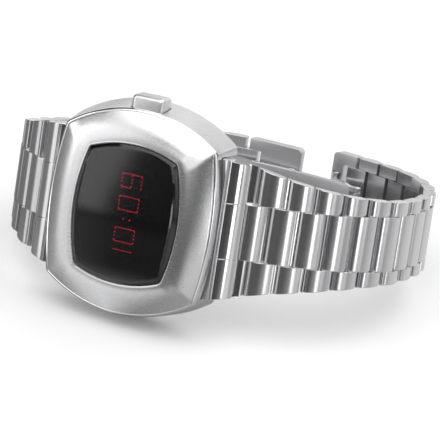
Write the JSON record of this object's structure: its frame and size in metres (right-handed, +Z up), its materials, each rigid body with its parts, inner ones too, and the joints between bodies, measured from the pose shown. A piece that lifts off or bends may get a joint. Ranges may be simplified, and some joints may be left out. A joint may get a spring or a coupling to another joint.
{
  "type": "led watch",
  "caption": "Cushion shaped steel wristwatch with a red lit digital time display, a push button and a three row link bracelet with a folding clasp",
  "frame": {"origin": "middle of the box at the table", "axes": "+X to the six o'clock side along the longest extent, +Y away from the dial to the clasp, +Z up from the table"},
  "size_m": [0.0788, 0.0694, 0.0428],
  "materials": {
    "case_steel": "satin brushed steel with a polished front edge",
    "crystal_glass": "dark tinted crystal",
    "seal_rubber": "matt",
    "mask_black": "matt",
    "display_resin": "dark resin",
    "led_red": "lit segments",
    "board_green": "solder resist",
    "chip_black": "moulded",
    "can_metal": "bright",
    "frame_plastic": "moulded",
    "cell_steel": "bright",
    "contact_brass": "plain",
    "screw_steel": "turned",
    "spring_steel": "drawn wire",
    "back_steel": "satin",
    "button_steel": "satin",
    "link_steel": "satin with polished steps",
    "clasp_steel": "polished"
  },
  "bodies": {
    "case": {"case_body": "case_steel", "crystal": "crystal_glass", "crystal_gasket": "seal_rubber", "display_mask": "mask_black", "led_display": "display_resin", "led_digits": "led_red", "circuit_board": "board_green", "driver_chip": "chip_black", "quartz_can": "can_metal", "module_frame": "frame_plastic", "battery": "cell_steel", "battery_strap": "contact_brass", "strap_screws": "screw_steel", "case_back": "back_steel", "case_back_gasket": "seal_rubber", "case_back_screws": "screw_steel", "pusher_spring": "spring_steel", "switch_leaf": "contact_brass", "spring_bars": "screw_steel", "end_link_six": "link_steel", "end_link_twelve": "link_steel"},
    "button": {"pusher": "button_steel", "pusher_gaskets": "seal_rubber", "pusher_clip": "screw_steel"},
    "link_six_01": {"link_six_01": "link_steel"},
    "link_six_02": {"link_six_02": "link_steel"},
    "link_six_03": {"link_six_03": "link_steel"},
    "link_six_04": {"link_six_04": "link_steel"},
    "link_six_05": {"link_six_05": "link_steel"},
    "link_six_06": {"link_six_06": "link_steel"},
    "link_six_07": {"link_six_07": "link_steel"},
    "link_six_08": {"link_six_08": "link_steel"},
    "link_six_09": {"link_six_09": "link_steel"},
    "link_six_10": {"link_six_10": "link_steel"},
    "link_six_11": {"link_six_11": "link_steel"},
    "link_six_12": {"link_six_12": "link_steel"},
    "link_six_13": {"link_six_13": "link_steel"},
    "link_six_14": {"link_six_14": "link_steel"},
    "end_piece_six": {"end_piece_six": "clasp_steel"},
    "link_twelve_01": {"link_twelve_01": "link_steel"},
    "link_twelve_02": {"link_twelve_02": "link_steel"},
    "link_twelve_03": {"link_twelve_03": "link_steel"},
    "link_twelve_04": {"link_twelve_04": "link_steel"},
    "link_twelve_05": {"link_twelve_05": "link_steel"},
    "link_twelve_06": {"link_twelve_06": "link_steel"},
    "link_twelve_07": {"link_twelve_07": "link_steel"},
    "link_twelve_08": {"link_twelve_08": "link_steel"},
    "link_twelve_09": {"link_twelve_09": "link_steel"},
    "link_twelve_10": {"link_twelve_10": "link_steel"},
    "link_twelve_11": {"link_twelve_11": "link_steel"},
    "link_twelve_12": {"link_twelve_12": "link_steel"},
    "link_twelve_13": {"link_twelve_13": "link_steel"},
    "end_piece_twelve": {"end_piece_twelve": "clasp_steel"},
    "clasp_arm_twelve": {"clasp_arm_twelve": "clasp_steel"},
    "clasp_blade": {"clasp_blade": "clasp_steel"},
    "clasp_arm_six": {"clasp_arm_six": "clasp_steel"}
  },
  "joints": [
    {"name": "button_press", "type": "slide", "parent": "case", "child": "button", "axis": [0.0659, -0.247, -0.9668], "range_m": [0, 0.0005], "stiffness_N_per_m": 100, "deforming": ["pusher_spring"]},
    {"name": "hinge_six_01", "type": "hinge", "parent": "case", "child": "link_six_01", "pos_m": [0.01499, -0.02161, 0.02143], "axis": [-0.0659, 0.247, 0.9668], "range_deg": [-2.3, 2.57]},
    {"name": "hinge_six_02", "type": "hinge", "parent": "link_six_01", "child": "link_six_02", "pos_m": [0.0201, -0.01985, 0.02133], "axis": [-0.0659, 0.247, 0.9668], "range_deg": [-9.37, 10.58]},
    {"name": "hinge_six_03", "type": "hinge", "parent": "link_six_02", "child": "link_six_03", "pos_m": [0.02491, -0.01742, 0.02104], "axis": [-0.0659, 0.247, 0.9668], "range_deg": [-2.88, 3.23]},
    {"name": "hinge_six_04", "type": "hinge", "parent": "link_six_03", "child": "link_six_04", "pos_m": [0.02914, -0.0141, 0.02048], "axis": [-0.0659, 0.247, 0.9668], "range_deg": [-2.4, 2.15]},
    {"name": "hinge_six_05", "type": "hinge", "parent": "link_six_04", "child": "link_six_05", "pos_m": [0.03258, -0.01003, 0.01967], "axis": [-0.0659, 0.247, 0.9668], "range_deg": [-6.41, 5.69]},
    {"name": "hinge_six_06", "type": "hinge", "parent": "link_six_05", "child": "link_six_06", "pos_m": [0.03559, -0.00563, 0.01875], "axis": [-0.0659, 0.247, 0.9668], "range_deg": [-9.76, 8.65]},
    {"name": "hinge_six_07", "type": "hinge", "parent": "link_six_06", "child": "link_six_07", "pos_m": [0.03691, -0.00054, 0.01754], "axis": [-0.0659, 0.247, 0.9668], "range_deg": [-6.65, 5.9]},
    {"name": "hinge_six_08", "type": "hinge", "parent": "link_six_07", "child": "link_six_08", "pos_m": [0.03751, 0.00467, 0.01625], "axis": [-0.0659, 0.247, 0.9668], "range_deg": [-3.68, 3.28]},
    {"name": "hinge_six_09", "type": "hinge", "parent": "link_six_08", "child": "link_six_09", "pos_m": [0.03728, 0.00989, 0.0149], "axis": [-0.0659, 0.247, 0.9668], "range_deg": [-4.9, 5.52]},
    {"name": "hinge_six_10", "type": "hinge", "parent": "link_six_09", "child": "link_six_10", "pos_m": [0.03577, 0.01489, 0.01352], "axis": [-0.0659, 0.247, 0.9668], "range_deg": [-14.6, 16.5]},
    {"name": "hinge_six_11", "type": "hinge", "parent": "link_six_10", "child": "link_six_11", "pos_m": [0.03324, 0.01947, 0.01218], "axis": [-0.0659, 0.247, 0.9668], "range_deg": [-13.61, 15.39]},
    {"name": "hinge_six_12", "type": "hinge", "parent": "link_six_11", "child": "link_six_12", "pos_m": [0.02986, 0.02349, 0.01092], "axis": [-0.0659, 0.247, 0.9668], "range_deg": [-10.33, 11.66]},
    {"name": "hinge_six_13", "type": "hinge", "parent": "link_six_12", "child": "link_six_13", "pos_m": [0.02552, 0.02652, 0.00985], "axis": [-0.0659, 0.247, 0.9668], "range_deg": [-13.61, 12.05]},
    {"name": "hinge_six_14", "type": "hinge", "parent": "link_six_13", "child": "link_six_14", "pos_m": [0.02066, 0.0287, 0.00896], "axis": [-0.0659, 0.247, 0.9668], "range_deg": [-7.72, 6.84]},
    {"name": "hinge_six_15", "type": "hinge", "parent": "link_six_14", "child": "end_piece_six", "pos_m": [0.01562, 0.03047, 0.00817], "axis": [-0.0659, 0.247, 0.9668], "range_deg": [-6.8, 6.04]},
    {"name": "hinge_twelve_01", "type": "hinge", "parent": "case", "child": "link_twelve_01", "pos_m": [-0.0297, -0.02161, 0.01838], "axis": [-0.0659, 0.247, 0.9668], "range_deg": [-0.3, 18.8]},
    {"name": "hinge_twelve_02", "type": "hinge", "parent": "link_twelve_01", "child": "link_twelve_02", "pos_m": [-0.03338, -0.01785, 0.01717], "axis": [-0.0659, 0.247, 0.9668], "range_deg": [-0.3, 6.67]},
    {"name": "hinge_twelve_03", "type": "hinge", "parent": "link_twelve_02", "child": "link_twelve_03", "pos_m": [-0.03591, -0.01327, 0.01583], "axis": [-0.0659, 0.247, 0.9668], "range_deg": [-15.27, 0.3]},
    {"name": "hinge_twelve_04", "type": "hinge", "parent": "link_twelve_03", "child": "link_twelve_04", "pos_m": [-0.03731, -0.00824, 0.01445], "axis": [-0.0659, 0.247, 0.9668], "range_deg": [-16.3, 0.3]},
    {"name": "hinge_twelve_05", "type": "hinge", "parent": "link_twelve_04", "child": "link_twelve_05", "pos_m": [-0.0375, -0.00302, 0.0131], "axis": [-0.0659, 0.247, 0.9668], "range_deg": [-6.85, 0.3]},
    {"name": "hinge_twelve_06", "type": "hinge", "parent": "link_twelve_05", "child": "link_twelve_06", "pos_m": [-0.03657, 0.00215, 0.01184], "axis": [-0.0659, 0.247, 0.9668], "range_deg": [-0.3, 1.77]},
    {"name": "hinge_twelve_07", "type": "hinge", "parent": "link_twelve_06", "child": "link_twelve_07", "pos_m": [-0.03464, 0.00707, 0.01072], "axis": [-0.0659, 0.247, 0.9668], "range_deg": [-0.3, 4.49]},
    {"name": "hinge_twelve_08", "type": "hinge", "parent": "link_twelve_07", "child": "link_twelve_08", "pos_m": [-0.03187, 0.0116, 0.00975], "axis": [-0.0659, 0.247, 0.9668], "range_deg": [-0.3, 4.22]},
    {"name": "hinge_twelve_09", "type": "hinge", "parent": "link_twelve_08", "child": "link_twelve_09", "pos_m": [-0.02841, 0.01567, 0.00895], "axis": [-0.0659, 0.247, 0.9668], "range_deg": [-0.3, 4.14]},
    {"name": "hinge_twelve_10", "type": "hinge", "parent": "link_twelve_09", "child": "link_twelve_10", "pos_m": [-0.02434, 0.01917, 0.00833], "axis": [-0.0659, 0.247, 0.9668], "range_deg": [-0.3, 5.62]},
    {"name": "hinge_twelve_11", "type": "hinge", "parent": "link_twelve_10", "child": "link_twelve_11", "pos_m": [-0.01983, 0.02209, 0.00789], "axis": [-0.0659, 0.247, 0.9668], "range_deg": [-0.3, 9.09]},
    {"name": "hinge_twelve_12", "type": "hinge", "parent": "link_twelve_11", "child": "link_twelve_12", "pos_m": [-0.0149, 0.02431, 0.00766], "axis": [-0.0659, 0.247, 0.9668], "range_deg": [-0.3, 11.79]},
    {"name": "hinge_twelve_13", "type": "hinge", "parent": "link_twelve_12", "child": "link_twelve_13", "pos_m": [-0.0097, 0.02575, 0.00765], "axis": [-0.0659, 0.247, 0.9668], "range_deg": [-0.3, 10.48]},
    {"name": "hinge_twelve_14", "type": "hinge", "parent": "link_twelve_13", "child": "end_piece_twelve", "pos_m": [-0.00435, 0.02648, 0.00783], "axis": [-0.0659, 0.247, 0.9668], "range_deg": [-0.3, 12.27]},
    {"name": "arm_twelve_seat", "type": "hinge", "parent": "end_piece_twelve", "child": "clasp_arm_twelve", "pos_m": [0.00476, 0.02433, 0.009], "axis": [-0.0659, 0.247, 0.9668], "range_deg": [-0.3, 1.78]},
    {"name": "arm_twelve_swing", "type": "hinge", "parent": "clasp_arm_twelve", "child": "clasp_blade", "pos_m": [-0.0086, 0.02344, 0.00831], "axis": [-0.0659, 0.247, 0.9668], "range_deg": [-50, 0]},
    {"name": "arm_six_swing", "type": "hinge", "parent": "clasp_blade", "child": "clasp_arm_six", "pos_m": [0.02003, 0.01989, 0.01117], "axis": [-0.0659, 0.247, 0.9668], "range_deg": [-30, 34]}
  ],
  "couplings": [
    {"joint": "hinge_six_01", "follows": "arm_six_swing", "ratio": 0.0667},
    {"joint": "hinge_six_02", "follows": "arm_six_swing", "ratio": 0.3024},
    {"joint": "hinge_six_03", "follows": "arm_six_swing", "ratio": 0.0861},
    {"joint": "hinge_six_04", "follows": "arm_six_swing", "ratio": -0.0618},
    {"joint": "hinge_six_05", "follows": "arm_six_swing", "ratio": -0.1798},
    {"joint": "hinge_six_06", "follows": "arm_six_swing", "ratio": -0.2782},
    {"joint": "hinge_six_07", "follows": "arm_six_swing", "ratio": -0.1868},
    {"joint": "hinge_six_08", "follows": "arm_six_swing", "ratio": -0.0994},
    {"joint": "hinge_six_09", "follows": "arm_six_swing", "ratio": 0.1535},
    {"joint": "hinge_six_10", "follows": "arm_six_swing", "ratio": 0.4765},
    {"joint": "hinge_six_11", "follows": "arm_six_swing", "ratio": 0.4437},
    {"joint": "hinge_six_12", "follows": "arm_six_swing", "ratio": 0.3342},
    {"joint": "hinge_six_13", "follows": "arm_six_swing", "ratio": -0.3915},
    {"joint": "hinge_six_14", "follows": "arm_six_swing", "ratio": -0.2181},
    {"joint": "hinge_six_15", "follows": "arm_six_swing", "ratio": -0.1912},
    {"joint": "hinge_twelve_01", "follows": "arm_twelve_swing", "ratio": -0.37},
    {"joint": "hinge_twelve_02", "follows": "arm_twelve_swing", "ratio": -0.1273},
    {"joint": "hinge_twelve_03", "follows": "arm_twelve_swing", "ratio": 0.2993},
    {"joint": "hinge_twelve_04", "follows": "arm_twelve_swing", "ratio": 0.32},
    {"joint": "hinge_twelve_05", "follows": "arm_twelve_swing", "ratio": 0.131},
    {"joint": "hinge_twelve_06", "follows": "arm_twelve_swing", "ratio": -0.0293},
    {"joint": "hinge_twelve_07", "follows": "arm_twelve_swing", "ratio": -0.0838},
    {"joint": "hinge_twelve_08", "follows": "arm_twelve_swing", "ratio": -0.0785},
    {"joint": "hinge_twelve_09", "follows": "arm_twelve_swing", "ratio": -0.0768},
    {"joint": "hinge_twelve_10", "follows": "arm_twelve_swing", "ratio": -0.1065},
    {"joint": "hinge_twelve_11", "follows": "arm_twelve_swing", "ratio": -0.1757},
    {"joint": "hinge_twelve_12", "follows": "arm_twelve_swing", "ratio": -0.2299},
    {"joint": "hinge_twelve_13", "follows": "arm_twelve_swing", "ratio": -0.2036},
    {"joint": "hinge_twelve_14", "follows": "arm_twelve_swing", "ratio": -0.2393},
    {"joint": "arm_twelve_seat", "follows": "arm_twelve_swing", "ratio": -0.0296}
  ]
}
